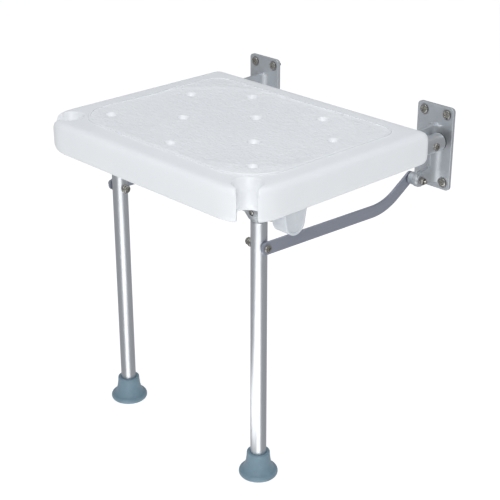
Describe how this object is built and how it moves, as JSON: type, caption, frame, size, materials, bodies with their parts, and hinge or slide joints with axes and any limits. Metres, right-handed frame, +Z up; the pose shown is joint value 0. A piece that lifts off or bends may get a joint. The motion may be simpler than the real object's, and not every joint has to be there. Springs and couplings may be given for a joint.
{
  "type": "wall-mounted folding shower seat",
  "caption": "White moulded shower seat on side rails that folds up against wall brackets, with drop-down tube legs, cranked straps and rubber tips.",
  "frame": {"origin": "on the wall plane at floor level, midway between the two wall brackets", "axes": "+X along the wall to the right bracket, +Y into the wall, +Z up; the seat is folded down"},
  "size_m": [0.4256, 0.4177, 0.4735],
  "materials": {
    "seat_plastic": "white blow-moulded polyethylene with a fine leather grain",
    "saddle_plastic": "translucent white moulded nylon",
    "anodised_tube": "satin anodised drawn tube",
    "cast_bracket": "silver powder coat on a die casting",
    "strap_metal": "grey satin flat bar",
    "tee_casting": "dark grey coated casting",
    "fastener": "bright nickel-plated or stainless steel",
    "plug_plastic": "black polyethylene",
    "tip_rubber": "blue-grey moulded rubber"
  },
  "bodies": {
    "wall_mount": {"wall_bracket_left": "cast_bracket", "wall_screw_left_1": "fastener", "wall_screw_left_2": "fastener", "wall_screw_left_3": "fastener", "wall_screw_left_4": "fastener", "lug_bolt_left": "fastener", "lug_nut_left": "fastener", "lug_washer_left": "fastener", "wall_bracket_right": "cast_bracket", "wall_screw_right_1": "fastener", "wall_screw_right_2": "fastener", "wall_screw_right_3": "fastener", "wall_screw_right_4": "fastener", "lug_bolt_right": "fastener", "lug_nut_right": "fastener", "lug_washer_right": "fastener"},
    "seat": {"seat_board": "seat_plastic", "side_rail_left": "anodised_tube", "rail_plug_left": "plug_plastic", "fold_bolt_left": "fastener", "fold_nut_left": "fastener", "seat_screw_left_1": "fastener", "seat_screw_left_2": "fastener", "pivot_saddle_left": "saddle_plastic", "saddle_screw_left_1": "fastener", "saddle_screw_left_2": "fastener", "side_rail_right": "anodised_tube", "rail_plug_right": "plug_plastic", "fold_bolt_right": "fastener", "fold_nut_right": "fastener", "seat_screw_right_1": "fastener", "seat_screw_right_2": "fastener", "pivot_saddle_right": "saddle_plastic", "saddle_screw_right_1": "fastener", "saddle_screw_right_2": "fastener"},
    "leg_frame": {"cross_tube": "anodised_tube", "leg_tee_left": "tee_casting", "tee_screw_left": "fastener", "leg_tube_left": "anodised_tube", "leg_tip_left": "tip_rubber", "leg_spacer_left": "fastener", "leg_pin_left": "fastener", "leg_pin_nut_left": "fastener", "leg_tee_right": "tee_casting", "tee_screw_right": "fastener", "leg_tube_right": "anodised_tube", "leg_tip_right": "tip_rubber", "leg_spacer_right": "fastener", "leg_pin_right": "fastener", "leg_pin_nut_right": "fastener"},
    "strap_left": {"strap_left": "strap_metal"},
    "strap_right": {"strap_right": "strap_metal"}
  },
  "joints": [
    {"name": "seat_fold", "type": "hinge", "parent": "wall_mount", "child": "seat", "pos_m": [0, -0.038, 0.427], "axis": [-1, 0, 0], "range_deg": [0, 88]},
    {"name": "leg_swing", "type": "hinge", "parent": "seat", "child": "leg_frame", "pos_m": [0, -0.3195, 0.4032], "axis": [-1, 0, 0], "range_deg": [-88, 0]},
    {"name": "strap_left_swing", "type": "hinge", "parent": "wall_mount", "child": "strap_left", "pos_m": [-0.1577, -0.038, 0.3714], "axis": [-1, 0, 0], "range_deg": [0, 88]},
    {"name": "strap_right_swing", "type": "hinge", "parent": "wall_mount", "child": "strap_right", "pos_m": [0.1577, -0.038, 0.3714], "axis": [-1, 0, 0], "range_deg": [0, 88]}
  ],
  "couplings": [
    {"joint": "leg_swing", "follows": "seat_fold", "ratio": -1},
    {"joint": "strap_left_swing", "follows": "seat_fold", "ratio": 1},
    {"joint": "strap_right_swing", "follows": "seat_fold", "ratio": 1}
  ]
}
